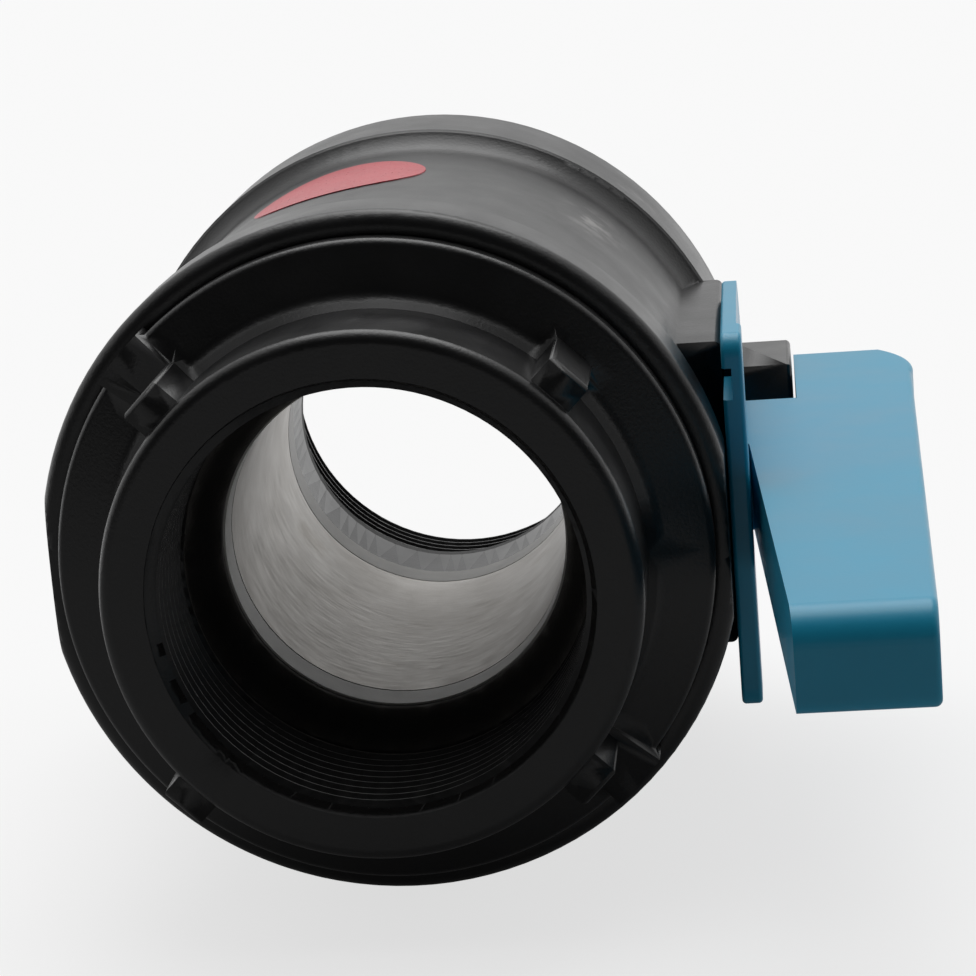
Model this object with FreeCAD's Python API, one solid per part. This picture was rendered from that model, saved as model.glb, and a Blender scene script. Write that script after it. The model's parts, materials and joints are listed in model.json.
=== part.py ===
import FreeCAD, Part
import math
import os

# Ball valve for an intermediate bulk container, DN50, with G2 sockets at both ends.
# Millimetres.  The bore axis is Y: the tank screws onto the face at Y = 0 and the
# outlet nozzle points to -Y.  The stem axis is parallel to X, the handle side is +X,
# and +Z is up.  The handle lies along the bore, which is the open position.

os.makedirs("parts", exist_ok=True)
Vec = FreeCAD.Vector

# ---- driving dimensions ------------------------------------------------------------

overall_length = 139.0
stem_from_inlet = 72.5
bore_d = 48.0
ball_d = 75.0

# G2 pipe thread, kept plain at its minor diameter
thread_minor_d = 56.66
thread_major_d = 59.61
thread_length = 24.0

# body casing
body_length = 118.0
barrel_d = 92.6
collar_d = 96.4
collar_length = 11.0
collar_slope = 2.0
collar_edge_round = 2.2
flats_across = 93.6
flange_d = 98.4
flange_thickness = 19.4
flange_from_inlet = 23.8
flange_edge_round = 1.2
flange_sweep_length = 6.2
neck_d = 76.0
gusset_count = 12
gusset_width = 3.0
gusset_below_rim = 4.2
gusset_toe = 1.0
cavity_clearance = 0.9

# stem boss on the handle side, and the lug that guards the end of the handle
boss_width = 44.6
boss_ahead_of_stem = 18.9
boss_edge_round = 1.0
lug_width = 16.6
lug_reach = 10.1
lug_edge_round = 0.8

# end cap with the outlet nozzle
nozzle_d = 72.0
nozzle_length = 15.7
nozzle_rim_round = 1.8
throat_taper = 6.0
cap_d = 90.0
cap_slope = 2.0
cap_edge_round = 1.2
spigot_d = 81.6
spigot_clearance = 0.2
grip_lug_count = 4
grip_lug_width = 6.4
grip_lug_height = 4.0
grip_lug_setback = 3.0
grip_lug_round = 0.7
dog_span_deg = 10.6
dog_raise = 0.8
dog_places_deg = (136.5, -44.0)

# seats and seals
seat_d = 68.0
seat_lip = 6.1
seat_thickness = 11.0
seat_recess = 9.0
seat_gap = 0.3
seat_side_clearance = 0.05
o_ring_section = 2.6
seat_ring_mid_d = 59.0
groove_margin = 0.3
cap_groove_from_face = 4.2
gasket_thickness = 2.0
gasket_width = 5.2
gasket_side_clearance = 0.3
bore_clearance = 0.3

# stem
slot_width = 10.2
slot_floor_from_axis = 31.2
tang_clearance = 0.15
tang_foot_gap = 0.3
collar_base_gap = 1.3
stem_collar_d = 26.0
stem_collar_height = 4.2
stem_groove_width = 2.4
stem_running_clearance = 0.06
thrust_washer_thickness = 0.7
washer_play = 0.05
journal_d = 16.0
drive_d = 12.0
drive_flats = 9.0
drive_length = 16.9
insert_d = 7.2
insert_length = 12.0
screw_d = 5.0
screw_length = 16.0
stem_o_ring_section = 1.8

# quarter-turn handle: plate and lever
plate_lift = 0.3
plate_thickness = 2.9
plate_thin = 2.2
plate_half_width = 26.6
plate_round_d = 54.0
plate_reach = 37.5
plate_lip = 9.0
plate_corner_round = 3.0
plate_edge_round = 0.6
nub_d = 3.8
nub_height = 1.3
nub_inset = 2.4
nub_clearance = 0.3
turn_deg = 90.0
fit_clearance = 0.05

lever_depth = 12.8
lever_reach = 104.1
lever_flare = 4.7
lever_face_height = 25.5
lever_tip_height = 17.1
lever_root_ahead = 16.0
lever_root_behind = 13.0
lever_tail = 46.5
tail_clearance = 0.4
tail_round_along = 18.0
tail_round_across = 4.2
tip_round_top = 4.5
tip_round_bottom = 2.0
lever_edge_round = 0.9
lever_wall = 2.2
rib_thickness = 1.8
rib_pitch = 12.6
screw_head_d = 9.0
screw_head_height = 3.2
handle_washer_d = 9.4
handle_washer_thickness = 1.0
cover_d = 10.0
cover_thickness = 1.2
head_pocket_depth = 5.4

# round blank label on the barrel
label_d = 26.6
label_thickness = 0.15
label_turn_deg = 101.3
label_from_inlet = 68.2

# cutting bodies and buried roots run this far past the faces that they meet
overrun = 1.0
# edges are picked out to within this distance
near = 0.01

# ---- places worked out from them ---------------------------------------------------

outlet_y = -overall_length
stem_y = -stem_from_inlet
front_y = -body_length
flange_back_y = -flange_from_inlet
flange_front_y = flange_back_y - flange_thickness
flange_r = flange_d / 2
barrel_r = barrel_d / 2
flange_rise = flange_r - barrel_r
flat_x = flats_across / 2
boss_front_y = stem_y - boss_ahead_of_stem
nub_y = boss_front_y + nub_inset
nub_z = boss_width / 2 - nub_inset
ball_r = ball_d / 2
bore_r = bore_d / 2
cavity_r = ball_r + cavity_clearance
thread_r = thread_minor_d / 2
mouth_r = thread_major_d / 2
mouth_chamfer = mouth_r - thread_r
cap_face_y = outlet_y + nozzle_length
spigot_r = spigot_d / 2
socket_r = spigot_r + spigot_clearance
passage_r = bore_r + bore_clearance
gasket_r = passage_r + gasket_width

seat_r = seat_d / 2
seat_back = math.sqrt(ball_r ** 2 - bore_r ** 2) + seat_lip
seat_front = seat_back - seat_thickness
pocket_front = seat_back - seat_recess
seat_groove_half = o_ring_section / 2 + groove_margin
seat_groove_depth = o_ring_section + fit_clearance
seat_groove_in = seat_ring_mid_d / 2 - seat_groove_half
seat_groove_out = seat_ring_mid_d / 2 + seat_groove_half

collar_base_x = ball_r + collar_base_gap
collar_top_x = collar_base_x + stem_collar_height
shoulder_x = collar_top_x + thrust_washer_thickness + 2 * washer_play
plate_in_x = flat_x + plate_lift
plate_out_x = plate_in_x + plate_thickness
stem_top_x = plate_in_x + drive_length
lug_top_x = flat_x + lug_reach

screw_hole_r = screw_d / 2 + 2 * fit_clearance
lever_half = lever_depth / 2
tip_y = stem_y - lever_reach
root_front_y = stem_y - lever_root_ahead
root_back_y = stem_y + lever_root_behind
tail_y = stem_y + lever_tail
tail_in_x = lug_top_x + tail_clearance
tip_in_x = plate_out_x + lever_flare
tip_out_x = tip_in_x + lever_tip_height
tail_out_x = plate_out_x + lever_face_height
outer_start_y = tail_y - tail_round_along


# ---- helpers -----------------------------------------------------------------------

def turned(profile):
    """Solid of revolution about the bore from (radius, y) corners."""
    points = [Vec(r, y, 0) for r, y in profile]
    face = Part.Face(Part.makePolygon(points + [points[0]]))
    return face.revolve(Vec(0, 0, 0), Vec(0, 1, 0), 360)


def ring(inner_r, outer_r, y0, y1):
    """Plain ring on the bore axis between two stations."""
    return turned([(inner_r, y0), (outer_r, y0), (outer_r, y1), (inner_r, y1)])


def rod(r, x0, x1, y=stem_y, z=0.0):
    """Round bar parallel to the stem axis."""
    return Part.makeCylinder(r, x1 - x0, Vec(x0, y, z), Vec(1, 0, 0))


def block(x0, x1, y0, y1, z0, z1):
    """Box between two corners."""
    return Part.makeBox(x1 - x0, y1 - y0, z1 - z0, Vec(x0, y0, z0))


def drive_bar(extra, x0, x1):
    """Round bar with two flats, which turns the plate and the lever."""
    half = drive_flats / 2 + extra
    bar = rod(drive_d / 2 + extra, x0, x1)
    return bar.common(block(x0, x1, stem_y - drive_d, stem_y + drive_d, -half, half))


def torus(mid_r, section, centre, axis):
    """O-ring."""
    return Part.makeTorus(mid_r, section / 2, centre, axis)


def about_bore(shape, degrees):
    """Copy turned about the bore; a positive angle runs from +X towards +Z."""
    copy = shape.copy()
    copy.rotate(Vec(0, 0, 0), Vec(0, -1, 0), degrees)
    return copy


def about_stem(shape, degrees):
    """Copy turned about the stem; a positive angle lifts the lever's tip."""
    copy = shape.copy()
    copy.rotate(Vec(0, stem_y, 0), Vec(-1, 0, 0), degrees)
    return copy


def round_edges(shape, radius, wanted):
    """Round each edge that the test picks."""
    return shape.makeFillet(radius, [e for e in shape.Edges if wanted(e)])


def is_ring(edge, radius, y):
    """True for a full circle of this radius round the bore at this station."""
    if not isinstance(edge.Curve, Part.Circle):
        return False
    centre = edge.Curve.Center
    near_axis = math.hypot(centre.x, centre.z) < near
    return near_axis and abs(edge.Curve.Radius - radius) < near and abs(centre.y - y) < near


def runs_along(edge, axis):
    """True for a straight edge parallel to the axis."""
    if not isinstance(edge.Curve, Part.Line):
        return False
    return abs(edge.Curve.Direction.dot(axis)) > 0.999


def save(shape, name):
    shape.removeSplitter().exportStep("parts/" + name + ".step")


# ---- body casing -------------------------------------------------------------------

def casing_round():
    """Round part of the casing, with the hollow sweep from the barrel up to the flange."""
    collar_r = collar_d / 2
    neck_r = neck_d / 2
    collar_back_y = front_y + collar_length
    sweep_y = flange_front_y - flange_sweep_length
    sweep_round = (flange_sweep_length ** 2 + flange_rise ** 2) / (2 * flange_rise)
    sweep = math.asin(flange_sweep_length / sweep_round)

    def on_cove(share):
        angle = sweep * share
        return Vec(barrel_r + sweep_round * (1 - math.cos(angle)),
                   sweep_y + sweep_round * math.sin(angle), 0)

    cove = Part.Arc(on_cove(0), on_cove(0.5), on_cove(1)).toShape()
    corners = [
        on_cove(1),
        Vec(flange_r, flange_back_y, 0),
        Vec(neck_r, flange_back_y, 0),
        Vec(neck_r, 0, 0),
        Vec(0, 0, 0),
        Vec(0, front_y, 0),
        Vec(collar_r, front_y, 0),
        Vec(collar_r, collar_back_y, 0),
        Vec(barrel_r, collar_back_y + collar_slope, 0),
        on_cove(0),
    ]
    outline = Part.Wire([cove] + Part.makePolygon(corners).Edges)
    return Part.Face(outline).revolve(Vec(0, 0, 0), Vec(0, 1, 0), 360)


def body_outside():
    collar_r = collar_d / 2
    collar_end_y = front_y + collar_length + collar_slope
    shape = casing_round()
    shape = round_edges(shape, collar_edge_round, lambda e: is_ring(e, collar_r, front_y))
    shape = round_edges(shape, flange_edge_round, lambda e: is_ring(e, flange_r, flange_back_y))
    for x0, x1 in ((-collar_d, -flat_x), (flat_x, collar_d)):
        shape = shape.cut(block(x0, x1, front_y - overrun, collar_end_y, -collar_r, collar_r))
    return shape


def neck_gussets():
    """Gussets that stiffen the inlet neck behind the flange."""
    neck_r = neck_d / 2
    root = neck_r - overrun
    tip = flange_r - gusset_below_rim
    outline = [
        Vec(root, flange_back_y - overrun, 0),
        Vec(tip, flange_back_y - overrun, 0),
        Vec(tip, flange_back_y, 0),
        Vec(neck_r + gusset_toe, -flange_edge_round, 0),
        Vec(root, -flange_edge_round, 0),
    ]
    web = Part.Face(Part.makePolygon(outline + [outline[0]])).extrude(Vec(0, 0, gusset_width))
    web.translate(Vec(0, 0, -gusset_width / 2))
    step = 360.0 / gusset_count
    return [about_bore(web, step * (n + 0.5)) for n in range(gusset_count)]


def stem_boss():
    """Flat-topped boss between the barrel and the flange, with the stop nub."""
    half = boss_width / 2
    boss = block(0, flat_x, boss_front_y, flange_front_y + overrun, -half, half)
    boss = round_edges(boss, boss_edge_round, lambda e: (
        runs_along(e, Vec(0, 1, 0)) and e.BoundBox.XMin > flat_x - near))
    nub = rod(nub_d / 2, flat_x - overrun, flat_x + nub_height, nub_y, nub_z)
    return boss.fuse(nub)


def guard_lug():
    """Lug on the flange rim, the full width of the flange."""
    lug = block(neck_d / 2, lug_top_x, flange_front_y, flange_back_y,
                -lug_width / 2, lug_width / 2)
    return round_edges(lug, lug_edge_round, lambda e: e.BoundBox.XMin > lug_top_x - near)


def body_inside():
    """The flow path, the seat pocket, the ball chamber and the cap's socket."""
    gasket_y = -thread_length - gasket_thickness
    pocket_y = stem_y + seat_back
    chamber_y = stem_y + pocket_front
    socket_y = stem_y - pocket_front
    pocket_r = seat_r + seat_side_clearance
    return turned([
        (0, overrun),
        (thread_r, overrun),
        (thread_r, -thread_length),
        (gasket_r + gasket_side_clearance, -thread_length),
        (gasket_r + gasket_side_clearance, gasket_y),
        (passage_r, gasket_y),
        (passage_r, pocket_y),
        (pocket_r, pocket_y),
        (pocket_r, chamber_y),
        (cavity_r, chamber_y),
        (cavity_r, socket_y),
        (socket_r, socket_y),
        (socket_r, front_y - overrun),
        (0, front_y - overrun),
    ])


def valve_body():
    shape = body_outside().fuse(neck_gussets() + [stem_boss(), guard_lug()])
    shape = shape.cut(body_inside())
    pocket_y = stem_y + seat_back
    shape = shape.cut(ring(seat_groove_in, seat_groove_out, pocket_y, pocket_y + seat_groove_depth))
    shape = shape.cut(rod(stem_collar_d / 2 + stem_running_clearance, 0, shoulder_x))
    return shape.cut(rod(journal_d / 2 + stem_running_clearance, 0, flat_x + overrun))


# ---- end cap -----------------------------------------------------------------------

def grip_lugs():
    """Four square lugs round the nozzle, for the screwing tool."""
    root_x = nozzle_d / 2 - overrun
    outer_x = nozzle_d / 2 + grip_lug_height
    lug = block(root_x, outer_x, outlet_y + grip_lug_setback, cap_face_y + overrun,
                -grip_lug_width / 2, grip_lug_width / 2)
    lug = round_edges(lug, grip_lug_round, lambda e: e.BoundBox.XMin > outer_x - near)
    step = 360.0 / grip_lug_count
    return [about_bore(lug, step * (n + 0.5)) for n in range(grip_lug_count)]


def cap_dogs():
    """Two raised sectors on the cap's face, opposite each other."""
    half = math.radians(dog_span_deg / 2)
    inner = nozzle_d / 2 - overrun
    outer = cap_d / 2 + dog_raise
    y0 = cap_face_y - dog_raise
    sector = ring(inner, outer, y0, front_y)
    far = outer * 2
    wedge_points = [
        Vec(0, y0, 0),
        Vec(far * math.cos(half), y0, -far * math.sin(half)),
        Vec(far * math.cos(half), y0, far * math.sin(half)),
        Vec(0, y0, 0),
    ]
    wedge = Part.Face(Part.makePolygon(wedge_points)).extrude(Vec(0, front_y - y0, 0))
    dog = sector.common(wedge)
    return [about_bore(dog, angle) for angle in dog_places_deg]


def end_cap():
    nozzle_r = nozzle_d / 2
    cap_r = cap_d / 2
    spigot_end_y = stem_y - pocket_front
    shape = turned([
        (0, outlet_y),
        (nozzle_r, outlet_y),
        (nozzle_r, cap_face_y),
        (cap_r, cap_face_y + cap_slope),
        (cap_r, front_y),
        (spigot_r, front_y),
        (spigot_r, spigot_end_y),
        (0, spigot_end_y),
    ])
    shape = round_edges(shape, nozzle_rim_round, lambda e: is_ring(e, nozzle_r, outlet_y))
    shape = round_edges(shape, cap_edge_round, lambda e: is_ring(e, cap_r, cap_face_y + cap_slope))
    shape = shape.fuse(grip_lugs() + cap_dogs())
    pocket_y = stem_y - seat_back
    pocket_r = seat_r + seat_side_clearance
    thread_end_y = outlet_y + thread_length
    bore = turned([
        (0, outlet_y - overrun),
        (mouth_r, outlet_y - overrun),
        (mouth_r, outlet_y),
        (thread_r, outlet_y + mouth_chamfer),
        (thread_r, thread_end_y),
        (passage_r, thread_end_y + throat_taper),
        (passage_r, pocket_y),
        (pocket_r, pocket_y),
        (pocket_r, spigot_end_y + overrun),
        (0, spigot_end_y + overrun),
    ])
    shape = shape.cut(bore)
    shape = shape.cut(ring(seat_groove_in, seat_groove_out, pocket_y - seat_groove_depth, pocket_y))
    groove_y = front_y + cap_groove_from_face
    half = o_ring_section / 2 + groove_margin
    floor_r = socket_r - o_ring_section - fit_clearance
    return shape.cut(ring(floor_r, spigot_r + overrun, groove_y - half, groove_y + half))


# ---- seals and seats ---------------------------------------------------------------

def seat(direction):
    """Seat ring, hollowed to the ball; direction is +1 at the inlet, -1 at the outlet."""
    back_y = stem_y + direction * seat_back
    front = stem_y + direction * seat_front
    blank = ring(bore_r, seat_r, min(back_y, front), max(back_y, front))
    hollow = Part.makeSphere(ball_r + seat_gap, Vec(0, stem_y, 0))
    return blank.cut(hollow)


def seat_o_ring(direction):
    y = stem_y + direction * (seat_back + o_ring_section / 2 + fit_clearance / 2)
    return torus(seat_ring_mid_d / 2, o_ring_section, Vec(0, y, 0), Vec(0, 1, 0))


def cap_o_ring():
    mid_r = socket_r - fit_clearance / 2 - o_ring_section / 2
    y = front_y + cap_groove_from_face
    return torus(mid_r, o_ring_section, Vec(0, y, 0), Vec(0, 1, 0))


def inlet_gasket():
    """Flat gasket, held in the relief behind the inlet thread."""
    return ring(passage_r, gasket_r, -thread_length - gasket_thickness, -thread_length)


# ---- ball and stem -----------------------------------------------------------------

def ball():
    """Ball with its through bore, and the slot that the stem's tang turns it by."""
    shape = Part.makeSphere(ball_r, Vec(0, stem_y, 0))
    bore = Part.makeCylinder(bore_r, ball_d, Vec(0, stem_y - ball_r, 0), Vec(0, 1, 0))
    half = slot_width / 2
    slot = block(slot_floor_from_axis, ball_d, stem_y - half, stem_y + half, -ball_r, ball_r)
    return shape.cut(bore).cut(slot)


def stem_groove_mids():
    """Stations of the two O-rings along the stem."""
    journal_end = flat_x
    return (collar_base_x + stem_collar_height / 2, (shoulder_x + journal_end) / 2)


def stem():
    """Blow-out proof stem: tang, collar, journal, driving flats and the tapped end."""
    half = slot_width / 2 - tang_clearance
    foot_x = slot_floor_from_axis + tang_foot_gap
    collar_r = stem_collar_d / 2
    tang = rod(collar_r, foot_x, collar_base_x)
    tang = tang.common(block(foot_x, collar_base_x, stem_y - half, stem_y + half,
                             -collar_r, collar_r))
    shape = tang.fuse([
        rod(collar_r, collar_base_x, collar_top_x),
        rod(journal_d / 2, collar_top_x, plate_in_x),
        drive_bar(0.0, plate_in_x, stem_top_x),
    ])
    outer_radii = (collar_r, journal_d / 2)
    for mid_x, outer_r in zip(stem_groove_mids(), outer_radii):
        floor_r = outer_r + stem_running_clearance - stem_o_ring_section - fit_clearance
        x0 = mid_x - stem_groove_width / 2
        x1 = mid_x + stem_groove_width / 2
        shape = shape.cut(rod(outer_r + overrun, x0, x1).cut(rod(floor_r, x0, x1)))
    return shape.cut(rod(insert_d / 2, stem_top_x - insert_length, stem_top_x + overrun))


def stem_o_ring(which):
    outer_r = (stem_collar_d / 2, journal_d / 2)[which]
    mid_r = outer_r + stem_running_clearance - stem_o_ring_section / 2 - fit_clearance / 2
    centre = Vec(stem_groove_mids()[which], stem_y, 0)
    return torus(mid_r, stem_o_ring_section, centre, Vec(1, 0, 0))


def thrust_washer():
    x0 = collar_top_x + washer_play
    x1 = x0 + thrust_washer_thickness
    outer = rod(stem_collar_d / 2, x0, x1)
    hole_r = journal_d / 2 + stem_running_clearance
    return outer.cut(rod(hole_r, x0 - overrun, x1 + overrun))


def stem_insert():
    """Brass insert in the stem's end, tapped for the handle screw."""
    x0 = stem_top_x - insert_length
    outer = rod(insert_d / 2, x0, stem_top_x)
    return outer.cut(rod(screw_d / 2, x0 - overrun, stem_top_x + overrun))


# ---- handle ------------------------------------------------------------------------

def plate_outline(inset):
    """Plate seen along the stem: half round behind, straight sides, square end ahead."""
    half = plate_half_width - inset
    round_r = plate_round_d / 2 - inset
    end_y = stem_y - plate_reach + inset
    join_y = stem_y + math.sqrt(round_r ** 2 - half ** 2)
    top = Vec(0, join_y, half)
    bottom = Vec(0, join_y, -half)
    back = Part.Arc(top, Vec(0, stem_y + round_r, 0), bottom).toShape()
    sides = Part.makePolygon([bottom, Vec(0, end_y, -half), Vec(0, end_y, half), top])
    return Part.Face(Part.Wire([back] + sides.Edges))


def stop_groove():
    """Groove under the plate that the nub runs in, with its lead-in from the end."""
    nub_r = math.hypot(nub_y - stem_y, nub_z)
    nub_deg = math.degrees(math.atan2(nub_z, stem_y - nub_y))
    half = nub_d / 2 + nub_clearance
    top_x = plate_in_x + nub_height - plate_lift + nub_clearance
    floor_x = plate_in_x - overrun
    track = rod(nub_r + half, floor_x, top_x).cut(rod(nub_r - half, floor_x, top_x))
    sector_r = 2 * nub_r
    fan = [Vec(floor_x, stem_y, 0)]
    for share in (0, 0.25, 0.5, 0.75, 1):
        angle = math.radians(nub_deg - turn_deg * share)
        fan.append(Vec(floor_x, stem_y - sector_r * math.cos(angle),
                       sector_r * math.sin(angle)))
    fan.append(fan[0])
    sector = Part.Face(Part.makePolygon(fan)).extrude(Vec(top_x - floor_x, 0, 0))
    start = rod(half, floor_x, top_x, nub_y, nub_z)
    end = about_stem(start, -turn_deg)
    lead_in = block(floor_x, top_x, stem_y - plate_reach - overrun, nub_y,
                    nub_z - half, nub_z + half)
    return track.common(sector).fuse([start, end, lead_in])


def handle_plate():
    thin_x = plate_in_x + plate_thin
    base = plate_outline(0).extrude(Vec(plate_thickness, 0, 0))
    base.translate(Vec(plate_in_x, 0, 0))
    corners_y = stem_y - plate_reach
    base = round_edges(base, plate_corner_round, lambda e: (
        runs_along(e, Vec(1, 0, 0)) and e.BoundBox.YMax < corners_y + near))
    base = round_edges(base, plate_edge_round, lambda e: (
        e.BoundBox.XMin > plate_out_x - near or e.BoundBox.XMax < plate_in_x + near))
    relief = block(thin_x, plate_out_x + overrun, stem_y - plate_reach + plate_lip,
                   stem_y + plate_round_d, -plate_round_d, plate_round_d)
    pad = block(thin_x, plate_out_x, root_front_y, root_back_y, -lever_half, lever_half)
    shape = base.cut(relief.cut(pad))
    shape = shape.cut(stop_groove())
    return shape.cut(drive_bar(fit_clearance, plate_in_x - overrun, plate_out_x + overrun))


def lever_plan():
    """Lever seen from above: wedge ahead of the stem, stepped tail behind it."""
    straight = [
        Vec(tail_out_x, outer_start_y, 0),
        Vec(tip_out_x, tip_y, 0),
        Vec(tip_in_x, tip_y, 0),
        Vec(plate_out_x, root_front_y, 0),
        Vec(plate_out_x, root_back_y, 0),
        Vec(tail_in_x, root_back_y, 0),
        Vec(tail_in_x, tail_y, 0),
        Vec(tail_out_x - tail_round_across, tail_y, 0),
    ]
    eighth = math.sqrt(0.5)
    middle = Vec(tail_out_x - tail_round_across * (1 - eighth),
                 outer_start_y + tail_round_along * eighth, 0)
    curve = Part.Arc(straight[-1], middle, straight[0]).toShape()
    face = Part.Face(Part.Wire(Part.makePolygon(straight).Edges + [curve]))
    face.translate(Vec(0, 0, -lever_half))
    return face.extrude(Vec(0, 0, lever_depth))


def lever_side():
    """Lever seen from the side: a bar whose tip is rounded more above than below."""
    x0 = plate_in_x
    wide = tail_out_x + lever_face_height - x0
    bar = block(x0, x0 + wide, tip_y, tail_y + overrun, -lever_half, lever_half)
    bar = round_edges(bar, tip_round_top, lambda e: (
        e.BoundBox.YMax < tip_y + near and e.BoundBox.ZMin > lever_half - near))
    return round_edges(bar, tip_round_bottom, lambda e: (
        e.BoundBox.YMax < tip_y + near and e.BoundBox.ZMax < near - lever_half))


def lever_inner_x(y):
    """Inner wall of the lever at a station ahead of the root."""
    share = (root_front_y - y) / (root_front_y - tip_y)
    return plate_out_x + lever_flare * share


def lever_outer_x(y):
    """Outer wall of the lever at a station ahead of the tail's rounding."""
    share = (outer_start_y - y) / (outer_start_y - tip_y)
    return tail_out_x + (tip_out_x - tail_out_x) * share


def lever_cells():
    """Coring from below, which leaves even walls and cross ribs."""
    first_y = tip_y + tip_round_top
    last_y = root_front_y
    count = int(round((last_y - first_y) / rib_pitch))
    pitch = (last_y - first_y) / count
    roof = lever_half - lever_wall
    cells = []
    for n in range(count):
        y0 = first_y + n * pitch + rib_thickness / 2
        y1 = y0 + pitch - rib_thickness
        outline = [
            Vec(lever_inner_x(y0) + lever_wall, y0, -lever_half - overrun),
            Vec(lever_outer_x(y0) - lever_wall, y0, -lever_half - overrun),
            Vec(lever_outer_x(y1) - lever_wall, y1, -lever_half - overrun),
            Vec(lever_inner_x(y1) + lever_wall, y1, -lever_half - overrun),
        ]
        face = Part.Face(Part.makePolygon(outline + [outline[0]]))
        cells.append(face.extrude(Vec(0, 0, roof + lever_half + overrun)))
    tail_cells = 2
    tail_start = root_back_y + lever_wall
    tail_pitch = (tail_y - lever_wall - tail_start + rib_thickness) / tail_cells
    for n in range(tail_cells):
        y0 = tail_start + n * tail_pitch
        cells.append(block(tail_in_x + lever_wall, tail_out_x - tail_round_across - lever_wall,
                           y0, y0 + tail_pitch - rib_thickness, -lever_half - overrun, roof))
    return cells


def handle_lever():
    shape = lever_plan().common(lever_side()).removeSplitter()
    shape = round_edges(shape, lever_edge_round, lambda e: (
        e.BoundBox.ZMin > lever_half - near and e.BoundBox.XMax > tail_in_x
        and e.BoundBox.YMax > tip_y + tip_round_top + overrun))
    shape = shape.cut(lever_cells())
    shape = shape.cut(drive_bar(fit_clearance, plate_out_x - overrun, stem_top_x))
    outer_x = lever_outer_x(stem_y)
    shape = shape.cut(rod(screw_hole_r, stem_top_x - overrun, outer_x))
    pocket_r = cover_d / 2 + fit_clearance
    return shape.cut(rod(pocket_r, head_pocket_floor(), outer_x + overrun))


def head_pocket_floor():
    return lever_outer_x(stem_y) - head_pocket_depth


def handle_washer():
    x0 = head_pocket_floor()
    outer = rod(handle_washer_d / 2, x0, x0 + handle_washer_thickness)
    x1 = x0 + handle_washer_thickness
    return outer.cut(rod(screw_hole_r, x0 - overrun, x1 + overrun))


def handle_screw():
    """Pan-head screw with its cross recess left to the finish."""
    seat_x = head_pocket_floor() + handle_washer_thickness
    head = rod(screw_head_d / 2, seat_x, seat_x + screw_head_height)
    head = round_edges(head, screw_head_height / 3, lambda e: (
        e.BoundBox.XMin > seat_x + screw_head_height - near))
    shank = rod(screw_d / 2 - fit_clearance, seat_x - screw_length, seat_x)
    return head.fuse(shank)


def screw_cover():
    """Snap-in disc that closes the screw pocket flush with the lever."""
    outer_x = lever_outer_x(stem_y)
    return rod(cover_d / 2, outer_x - cover_thickness, outer_x)


# ---- label -------------------------------------------------------------------------

def blank_label():
    """Round self-adhesive label without any print, bent to the barrel."""
    skin = ring(barrel_r, barrel_r + label_thickness, -label_from_inlet - label_d,
                -label_from_inlet + label_d)
    punch = Part.makeCylinder(label_d / 2, flange_d, Vec(0, -label_from_inlet, 0), Vec(1, 0, 0))
    return skin.common(about_bore(punch, label_turn_deg))


# ---- write every piece -------------------------------------------------------------

save(valve_body(), "valve_body")
save(end_cap(), "end_cap")
save(cap_o_ring(), "end_cap_o_ring")
save(seat(1), "inlet_seat")
save(seat(-1), "outlet_seat")
save(seat_o_ring(1), "inlet_seat_o_ring")
save(seat_o_ring(-1), "outlet_seat_o_ring")
save(inlet_gasket(), "inlet_gasket")
save(blank_label(), "blank_label")
save(ball(), "ball")
save(stem(), "stem")
save(stem_insert(), "stem_insert")
save(stem_o_ring(0), "stem_o_ring_lower")
save(stem_o_ring(1), "stem_o_ring_upper")
save(thrust_washer(), "stem_thrust_washer")
save(handle_plate(), "handle_plate")
save(handle_lever(), "handle_lever")
save(handle_washer(), "handle_washer")
save(handle_screw(), "handle_screw")
save(screw_cover(), "screw_cover")
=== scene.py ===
import json
import math

import bmesh
import bpy
from mathutils import Matrix, Vector


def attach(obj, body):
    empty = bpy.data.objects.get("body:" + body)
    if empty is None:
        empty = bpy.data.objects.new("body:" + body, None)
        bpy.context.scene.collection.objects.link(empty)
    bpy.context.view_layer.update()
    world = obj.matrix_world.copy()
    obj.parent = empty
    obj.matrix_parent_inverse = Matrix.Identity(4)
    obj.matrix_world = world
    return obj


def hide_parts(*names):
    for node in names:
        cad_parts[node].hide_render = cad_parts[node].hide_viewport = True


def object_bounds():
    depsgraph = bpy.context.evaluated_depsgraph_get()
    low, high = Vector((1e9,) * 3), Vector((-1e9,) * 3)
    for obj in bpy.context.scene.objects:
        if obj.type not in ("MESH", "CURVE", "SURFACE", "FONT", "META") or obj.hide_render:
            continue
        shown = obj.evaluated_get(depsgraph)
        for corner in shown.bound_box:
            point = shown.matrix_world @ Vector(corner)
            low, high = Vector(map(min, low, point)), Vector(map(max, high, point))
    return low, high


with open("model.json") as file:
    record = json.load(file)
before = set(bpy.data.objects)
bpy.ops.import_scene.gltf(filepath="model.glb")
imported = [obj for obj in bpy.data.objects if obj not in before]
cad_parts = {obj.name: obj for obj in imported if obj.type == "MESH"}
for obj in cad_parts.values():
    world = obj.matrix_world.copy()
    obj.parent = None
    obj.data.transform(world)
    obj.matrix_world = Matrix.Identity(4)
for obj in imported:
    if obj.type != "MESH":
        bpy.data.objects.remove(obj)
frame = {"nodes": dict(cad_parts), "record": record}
cad_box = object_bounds()
nodes = frame["nodes"]

MM = 0.001

# G2 parallel pipe thread, millimetres: the depth is a little under full, as moulded
THREAD_PITCH = 2.309
THREAD_MINOR_R = 28.33
THREAD_MAJOR_R = 29.75
# first and last station of each socket's thread along the bore, from its mouth inwards
OUTLET_THREAD = (-140.6, -115.6)
INLET_THREAD = (1.4, -25.2)
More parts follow.
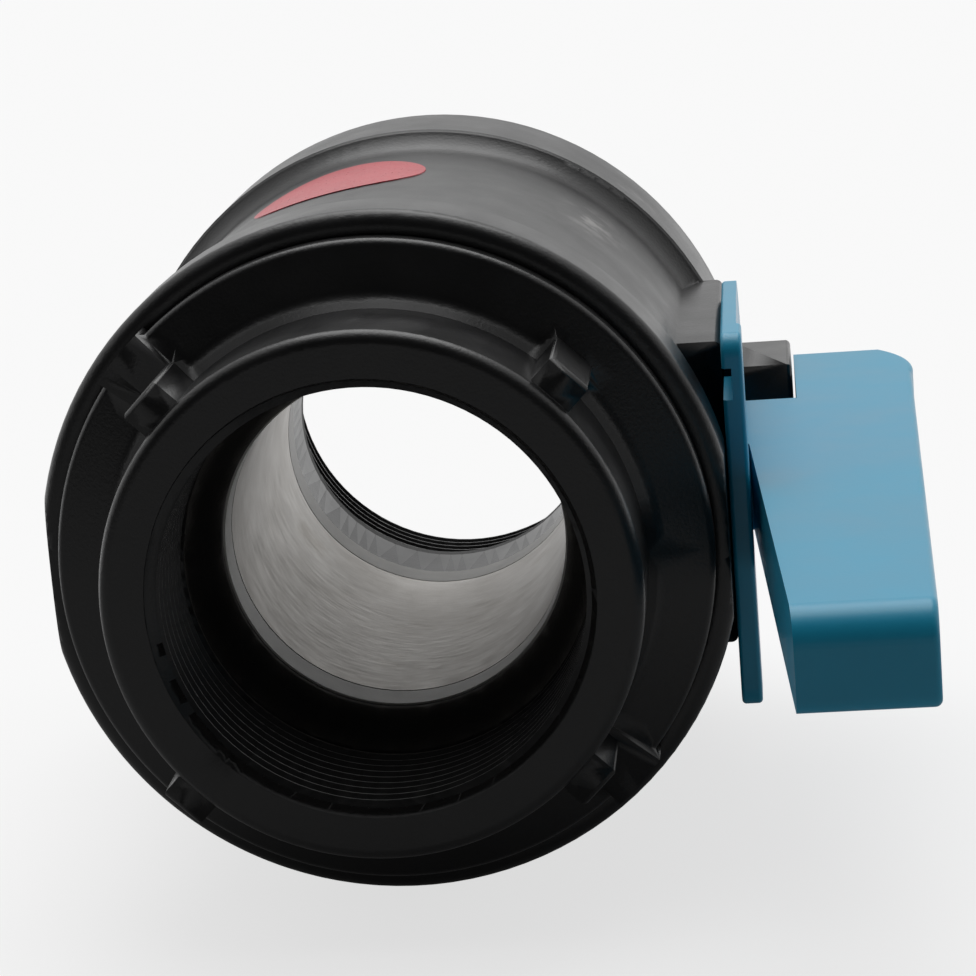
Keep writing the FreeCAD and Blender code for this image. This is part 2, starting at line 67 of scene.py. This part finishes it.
# the groove's section: half widths at its mouth and floor, and how it runs out
GROOVE_STEPS_PER_TURN = 72
GROOVE_RUNS_INTO_BORE = 0.14
GROOVE_LEAST_DEPTH = 0.05
GROOVE_MOUTH_HALF_LEAST = 0.3
GROOVE_MOUTH_HALF_GROWS = 0.76
GROOVE_FLOOR_HALF = 0.2
RUN_OUT_TURNS = 0.75

# chalky rubs on the casing: centre and half extent of each, millimetres
RUBS = (
    ((28.5, -67.0, 36.5), (7.0, 13.0, 7.0)),
    ((33.5, -37.0, 36.0), (6.0, 3.0, 6.0)),
)

# faces that meet more steeply than this keep a sharp edge
SHARP_FROM_DEG = 32
# corners of the CAD mesh nearer than this are one corner, millimetres
JOIN_WITHIN = 0.0005


# ---- colour and nodes --------------------------------------------------------------

def linear(hex_code):
    """sRGB hex to the linear colour that a shader takes."""
    channels = [int(hex_code[i:i + 2], 16) / 255 for i in (0, 2, 4)]
    light = [c / 12.92 if c <= 0.04045 else ((c + 0.055) / 1.055) ** 2.4 for c in channels]
    return (*light, 1.0)


def add(tree, kind, inputs=None, stops=(), **settings):
    """Add a node. An input is a value, or an output socket to link from; stops are the
    (position, hex) pairs of a colour ramp."""
    new = tree.nodes.new(kind)
    for name, value in settings.items():
        setattr(new, name, value)
    for key, value in (inputs or {}).items():
        if isinstance(value, bpy.types.NodeSocket):
            tree.links.new(value, new.inputs[key])
        else:
            new.inputs[key].default_value = value
    if stops:
        elements = new.color_ramp.elements
        for element, (position, hex_code) in zip(elements, (stops[0], stops[-1])):
            element.position = position
            element.color = linear(hex_code)
        for position, hex_code in stops[1:-1]:
            elements.new(position).color = linear(hex_code)
    return new


def per(size_mm):
    """Texture scale that makes one feature this many millimetres across."""
    return 1.0 / (size_mm * MM)


def blank(name):
    """Empty material with its output, shader and the piece's own coordinates."""
    material = bpy.data.materials.new(name)
    material.use_nodes = True
    tree = material.node_tree
    tree.nodes.clear()
    shader = add(tree, "ShaderNodeBsdfPrincipled")
    add(tree, "ShaderNodeOutputMaterial", {"Surface": shader.outputs["BSDF"]})
    place = add(tree, "ShaderNodeTexCoord").outputs["Object"]
    return material, tree, shader, place


# ---- materials ---------------------------------------------------------------------

def black_polypropylene():
    """Black polypropylene, injection moulded in a spark-eroded tool: a fine even grain
    that turns grey where light grazes it, with chalky rubs on the crown of the casing."""
    material, tree, shader, place = blank("black_polypropylene")
    # the real grain is near 0.1 mm; drawn coarser, so that it shows
    grain = add(tree, "ShaderNodeTexNoise", {"Vector": place, "Scale": per(0.45), "Detail": 3.0})
    cloud = add(tree, "ShaderNodeTexNoise", {"Vector": place, "Scale": per(9.0), "Detail": 4.0})
    body = add(tree, "ShaderNodeValToRGB", {"Fac": cloud.outputs["Fac"]},
               stops=((0.35, "131314"), (0.7, "19191a")))
    chalk = None
    for centre, reach in RUBS:
        offset = add(tree, "ShaderNodeVectorMath", {0: place, 1: Vector(centre) * MM},
                     operation="SUBTRACT")
        shape = add(tree, "ShaderNodeVectorMath",
                    {0: offset.outputs[0], 1: [1 / (r * MM) for r in reach]}, operation="MULTIPLY")
        far = add(tree, "ShaderNodeVectorMath", {0: shape.outputs[0]}, operation="LENGTH")
        near = add(tree, "ShaderNodeMapRange", {"Value": far.outputs["Value"], "From Min": 1.0,
                                                "From Max": 0.1, "To Min": 0.0, "To Max": 1.0})
        if chalk is None:
            chalk = near.outputs["Result"]
        else:
            chalk = add(tree, "ShaderNodeMath", {0: chalk, 1: near.outputs["Result"]},
                        operation="MAXIMUM").outputs[0]
    smear = add(tree, "ShaderNodeTexNoise", {"Vector": place, "Scale": per(5.0), "Detail": 6.0,
                                             "Roughness": 0.65})
    torn = add(tree, "ShaderNodeMapRange", {"Value": smear.outputs["Fac"], "From Min": 0.47,
                                            "From Max": 0.62, "To Min": 0.0, "To Max": 0.8})
    rub = add(tree, "ShaderNodeMath", {0: chalk, 1: torn.outputs["Result"]}, operation="MULTIPLY")
    colour = add(tree, "ShaderNodeMix",
                 {0: rub.outputs[0], 6: body.outputs["Color"], 7: linear("8e8c8a")},
                 data_type="RGBA")
    rough = add(tree, "ShaderNodeMapRange", {"Value": cloud.outputs["Fac"], "From Min": 0.3,
                                             "From Max": 0.7, "To Min": 0.30, "To Max": 0.38})
    bump = add(tree, "ShaderNodeBump", {"Height": grain.outputs["Fac"], "Strength": 0.5,
                                        "Distance": 0.08 * MM})
    for name, value in (("Base Color", colour.outputs[2]), ("Roughness", rough.outputs["Result"]),
                        ("Normal", bump.outputs["Normal"])):
        tree.links.new(value, shader.inputs[name])
    shader.inputs["IOR"].default_value = 1.5
    return material


def blue_polypropylene():
    """Blue polypropylene, injection moulded: a close satin grain, a little paler where
    hands have polished it."""
    material, tree, shader, place = blank("blue_polypropylene")
    # the real grain is near 0.1 mm; drawn coarser, so that it shows
    grain = add(tree, "ShaderNodeTexNoise", {"Vector": place, "Scale": per(0.5), "Detail": 3.0})
    cloud = add(tree, "ShaderNodeTexNoise", {"Vector": place, "Scale": per(14.0), "Detail": 3.0})
    body = add(tree, "ShaderNodeValToRGB", {"Fac": cloud.outputs["Fac"]},
               stops=((0.3, "1590b4"), (0.7, "1b99bd")))
    rough = add(tree, "ShaderNodeMapRange", {"Value": cloud.outputs["Fac"], "From Min": 0.3,
                                             "From Max": 0.7, "To Min": 0.30, "To Max": 0.38})
    bump = add(tree, "ShaderNodeBump", {"Height": grain.outputs["Fac"], "Strength": 0.3,
                                        "Distance": 0.04 * MM})
    for name, value in (("Base Color", body.outputs["Color"]),
                        ("Roughness", rough.outputs["Result"]),
                        ("Normal", bump.outputs["Normal"])):
        tree.links.new(value, shader.inputs[name])
    shader.inputs["IOR"].default_value = 1.5
    return material


def satin_stainless():
    """Stainless steel, turned and then blasted satin: faint rings from the tool, dull
    patches, and brown traces of what has run through."""
    material, tree, shader, place = blank("satin_stainless")
    squash = add(tree, "ShaderNodeVectorMath", {0: place, 1: (1.0, 9.0, 1.0)}, operation="MULTIPLY")
    # tool rings and blast pits are far finer on the real ball; drawn coarser, so that they show
    rings = add(tree, "ShaderNodeTexNoise",
                {"Vector": squash.outputs[0], "Scale": per(4.0), "Detail": 5.0})
    speck = add(tree, "ShaderNodeTexNoise", {"Vector": place, "Scale": per(0.8), "Detail": 4.0})
    cloud = add(tree, "ShaderNodeTexNoise", {"Vector": place, "Scale": per(16.0), "Detail": 5.0,
                                             "Roughness": 0.6})
    steel = add(tree, "ShaderNodeValToRGB", {"Fac": cloud.outputs["Fac"]},
                stops=((0.3, "a8a49f"), (0.55, "bab7b3"), (0.75, "c4c2be")))
    stain = add(tree, "ShaderNodeMapRange", {"Value": cloud.outputs["Fac"], "From Min": 0.62,
                                             "From Max": 0.72, "To Min": 0.0, "To Max": 0.35})
    colour = add(tree, "ShaderNodeMix",
                 {0: stain.outputs["Result"], 6: steel.outputs["Color"], 7: linear("7d6f60")},
                 data_type="RGBA")
    rough = add(tree, "ShaderNodeMapRange", {"Value": rings.outputs["Fac"], "From Min": 0.3,
                                             "From Max": 0.7, "To Min": 0.42, "To Max": 0.55})
    bump = add(tree, "ShaderNodeBump", {"Height": speck.outputs["Fac"], "Strength": 0.25,
                                        "Distance": 0.03 * MM})
    for name, value in (("Base Color", colour.outputs[2]), ("Roughness", rough.outputs["Result"]),
                        ("Normal", bump.outputs["Normal"])):
        tree.links.new(value, shader.inputs[name])
    shader.inputs["Metallic"].default_value = 1.0
    return material


def simple_finish(name, low, high, rough, grain_mm, depth_mm, metallic=0.0, stretch=(1, 1, 1)):
    """Material with a two-tone cloud and a grain, for the seals, fasteners and label; the
    grain is drawn coarser than the real one, so that it shows."""
    material, tree, shader, place = blank(name)
    lay = add(tree, "ShaderNodeVectorMath", {0: place, 1: stretch}, operation="MULTIPLY")
    grain = add(tree, "ShaderNodeTexNoise",
                {"Vector": lay.outputs[0], "Scale": per(grain_mm), "Detail": 3.0})
    cloud = add(tree, "ShaderNodeTexNoise", {"Vector": place, "Scale": per(6.0), "Detail": 4.0})
    body = add(tree, "ShaderNodeValToRGB", {"Fac": cloud.outputs["Fac"]},
               stops=((0.3, low), (0.7, high)))
    gloss = add(tree, "ShaderNodeMapRange",
                {"Value": grain.outputs["Fac"], "From Min": 0.3, "From Max": 0.7,
                 "To Min": rough - 0.05, "To Max": rough + 0.05})
    bump = add(tree, "ShaderNodeBump", {"Height": grain.outputs["Fac"], "Strength": 0.3,
                                        "Distance": depth_mm * MM})
    for socket, value in (("Base Color", body.outputs["Color"]),
                          ("Roughness", gloss.outputs["Result"]),
                          ("Normal", bump.outputs["Normal"])):
        tree.links.new(value, shader.inputs[socket])
    shader.inputs["Metallic"].default_value = metallic
    return material


finishes = {
    "black_pp": black_polypropylene(),
    "blue_pp": blue_polypropylene(),
    "ball_steel": satin_stainless(),
    # PTFE, turned: waxy white with fine tool rings
    "seat_ptfe": simple_finish("turned_ptfe", "b9b7b2", "cdcbc6", 0.40, 0.4, 0.02,
                               stretch=(1, 8, 1)),
    # EPDM rubber, moulded: dull black with a faint bloom
    "seal_rubber": simple_finish("epdm_rubber", "141414", "1f1f1e", 0.62, 0.3, 0.03),
    # polyamide with glass fibre: dark grey with short streaks of fibre
    "stem_plastic": simple_finish("glass_filled_polyamide", "1c1d1f", "2a2b2d", 0.5, 0.3, 0.04,
                                  stretch=(4, 1, 1)),
    # brass, turned: warm yellow with fine rings
    "insert_brass": simple_finish("turned_brass", "b08d4e", "caa866", 0.28, 0.3, 0.02,
                                  metallic=1.0, stretch=(9, 1, 1)),
    # zinc-plated steel: pale, slightly blue
    "screw_steel": simple_finish("zinc_plated_steel", "aeb2b6", "c6c9cb", 0.30, 0.5, 0.02,
                                 metallic=1.0),
    # vinyl film in one plain red, without print: smooth, with a soft sheen
    "label_red": simple_finish("red_vinyl_film", "c02c3a", "cc3644", 0.32, 0.6, 0.01),
}
slot_of = {part["node"]: part["material_slot"] for part in frame["record"]["subparts"]}
for name, piece in nodes.items():
    piece.data.materials.clear()
    piece.data.materials.append(finishes[slot_of[name]])


# ---- threaded sockets --------------------------------------------------------------

def thread_cutter(start_y, end_y):
    """Right-hand helical groove between two stations, which runs out at its inner end."""
    count = int(abs(end_y - start_y) / THREAD_PITCH * GROOVE_STEPS_PER_TURN)
    direction = 1 if end_y > start_y else -1
    base_r = THREAD_MINOR_R - GROOVE_RUNS_INTO_BORE
    least_r = base_r + GROOVE_LEAST_DEPTH
    mesh = bmesh.new()
    rows = []
    for n in range(count + 1):
        turn = direction * n / GROOVE_STEPS_PER_TURN
        angle = math.tau * turn
        y = start_y + THREAD_PITCH * turn
        depth = min(1.0, (count - n) / (RUN_OUT_TURNS * GROOVE_STEPS_PER_TURN))
        tip_r = least_r + (THREAD_MAJOR_R - least_r) * depth
        base_half = GROOVE_MOUTH_HALF_LEAST + GROOVE_MOUTH_HALF_GROWS * depth
        section = ((base_r, -base_half), (tip_r, -GROOVE_FLOOR_HALF),
                   (tip_r, GROOVE_FLOOR_HALF), (base_r, base_half))
        rows.append([
            mesh.verts.new(Vector((r * math.sin(angle), y + dy, r * math.cos(angle))) * MM)
            for r, dy in section
        ])
    for a, b in zip(rows, rows[1:]):
        for i in range(4):
            j = (i + 1) % 4
            mesh.faces.new((a[i], a[j], b[j], b[i]))
    mesh.faces.new(rows[0])
    mesh.faces.new(rows[-1][::-1])
    bmesh.ops.recalc_face_normals(mesh, faces=mesh.faces)
    data = bpy.data.meshes.new("cutter")
    mesh.to_mesh(data)
    mesh.free()
    cutter = bpy.data.objects.new("cutter", data)
    bpy.context.scene.collection.objects.link(cutter)
    return cutter


def sound_copy(node, name):
    """Copy of a CAD piece with its split corners joined, ready to be cut."""
    data = nodes[node].data.copy()
    mesh = bmesh.new()
    mesh.from_mesh(data)
    bmesh.ops.remove_doubles(mesh, verts=mesh.verts, dist=JOIN_WITHIN * MM)
    mesh.to_mesh(data)
    mesh.free()
    copy = bpy.data.objects.new(name, data)
    bpy.context.scene.collection.objects.link(copy)
    return copy


def bake(piece):
    """Apply the piece's modifiers to its mesh."""
    graph = bpy.context.evaluated_depsgraph_get()
    data = bpy.data.meshes.new_from_object(piece.evaluated_get(graph), depsgraph=graph)
    piece.modifiers.clear()
    piece.data = data


def cut(piece, cutter):
    """Take the cutter's shape out of the piece."""
    step = piece.modifiers.new("cut", "BOOLEAN")
    step.operation = "DIFFERENCE"
    step.solver = "EXACT"
    step.object = cutter
    bake(piece)
    bpy.data.objects.remove(cutter)


def crisp(piece):
    """Keep flat faces flat and edges sharp, and let the rounded ones shade smoothly."""
    data = piece.data
    data.polygons.foreach_set("use_smooth", [True] * len(data.polygons))
    data.set_sharp_from_angle(angle=math.radians(SHARP_FROM_DEG))
    step = piece.modifiers.new("crisp", "WEIGHTED_NORMAL")
    step.mode = "FACE_AREA"
    step.weight = 100
    step.keep_sharp = True
    bake(piece)


for node, name, thread in (("end_cap", "outlet_cap", OUTLET_THREAD),
                           ("valve_body", "casing_shell", INLET_THREAD)):
    piece = sound_copy(node, name)
    cut(piece, thread_cutter(*thread))
    crisp(piece)
    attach(piece, "casing")
    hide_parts(node)


# ---- stage -------------------------------------------------------------------------

# the floor lies this far under the flange, millimetres, and reaches this far, metres
FLOOR_BELOW = 0.2
FLOOR_HALF = 6.0

def studio_floor():
    """Pale floor under the flange, wide enough to have no edge in view. Reflections see it
    bright behind the valve and dark in front, as on a table with a white sweep behind."""
    level = cad_box[0][2] - FLOOR_BELOW * MM
    corners = [(x * FLOOR_HALF, y * FLOOR_HALF, level)
               for x, y in ((-1, -1), (1, -1), (1, 1), (-1, 1))]
    data = bpy.data.meshes.new("floor")
    data.from_pydata(corners, [], [(0, 1, 2, 3)])
    floor = bpy.data.objects.new("floor", data)
    bpy.context.scene.collection.objects.link(floor)
    material = bpy.data.materials.new("pale_floor")
    material.use_nodes = True
    tree = material.node_tree
    tree.nodes.clear()
    path = add(tree, "ShaderNodeLightPath")
    place = add(tree, "ShaderNodeTexCoord").outputs["Object"]
    across = add(tree, "ShaderNodeSeparateXYZ", {0: place})
    behind = add(tree, "ShaderNodeMapRange",
                 {"Value": across.outputs["Y"], "From Min": -0.10, "From Max": 0.12,
                  "To Min": 0.04, "To Max": 0.85}, interpolation_type="SMOOTHSTEP")
    glow = add(tree, "ShaderNodeMix",
               {0: path.outputs["Is Camera Ray"], 2: behind.outputs["Result"], 3: 0.70})
    white = add(tree, "ShaderNodeEmission", {"Strength": glow.outputs[0]})
    matt = add(tree, "ShaderNodeBsdfDiffuse", {"Color": (0.27, 0.27, 0.27, 1.0)})
    both = add(tree, "ShaderNodeAddShader", {0: white.outputs[0], 1: matt.outputs[0]})
    add(tree, "ShaderNodeOutputMaterial", {"Surface": both.outputs[0]})
    data.materials.append(material)


def studio_light():
    """White sweep behind and above, little light from the front, and one broad lamp overhead."""
    world = bpy.data.worlds.new("studio")
    bpy.context.scene.world = world
    world.use_nodes = True
    tree = world.node_tree
    tree.nodes.clear()
    path = add(tree, "ShaderNodeLightPath")
    way = add(tree, "ShaderNodeTexCoord").outputs["Generated"]
    side = add(tree, "ShaderNodeVectorMath", {0: way, 1: (0.0, 1.0, 0.3)}, operation="DOT_PRODUCT")
    sweep = add(tree, "ShaderNodeMapRange",
                {"Value": side.outputs["Value"], "From Min": -0.25, "From Max": 0.35,
                 "To Min": 0.05, "To Max": 1.0}, interpolation_type="SMOOTHSTEP")
    light = add(tree, "ShaderNodeBackground", {"Strength": sweep.outputs["Result"]})
    white = add(tree, "ShaderNodeBackground", {"Color": (0.97, 0.97, 0.97, 1.0)})
    mix = add(tree, "ShaderNodeMixShader",
              {0: path.outputs["Is Camera Ray"], 1: light.outputs[0], 2: white.outputs[0]})
    add(tree, "ShaderNodeOutputWorld", {"Surface": mix.outputs[0]})
    lamp = bpy.data.objects.new("overhead", bpy.data.lights.new("overhead", "SUN"))
    lamp.data.energy = 1.4
    lamp.data.angle = math.radians(50)
    lamp.rotation_euler = (math.radians(-25), 0.0, 0.0)
    bpy.context.scene.collection.objects.link(lamp)


def camera():
    """Camera in front of the outlet, a little above the bore and to the handle's side."""
    data = bpy.data.cameras.new("camera")
    data.sensor_width = 36.0
    data.lens = 115.76
    data.clip_start = 0.01
    eye = bpy.data.objects.new("camera", data)
    right = Vector((0.993868, 0.078158, -0.078219))
    up = Vector((0.057194, 0.242052, 0.968576))
    back = right.cross(up)
    place = Vector((0.0550189, -0.5299285, 0.1098546))
    eye.matrix_world = Matrix.Translation(place) @ Matrix((right, up, back)).transposed().to_4x4()
    bpy.context.scene.collection.objects.link(eye)
    bpy.context.scene.camera = eye


studio_floor()
studio_light()
camera()
bpy.context.scene.view_settings.view_transform = "Standard"
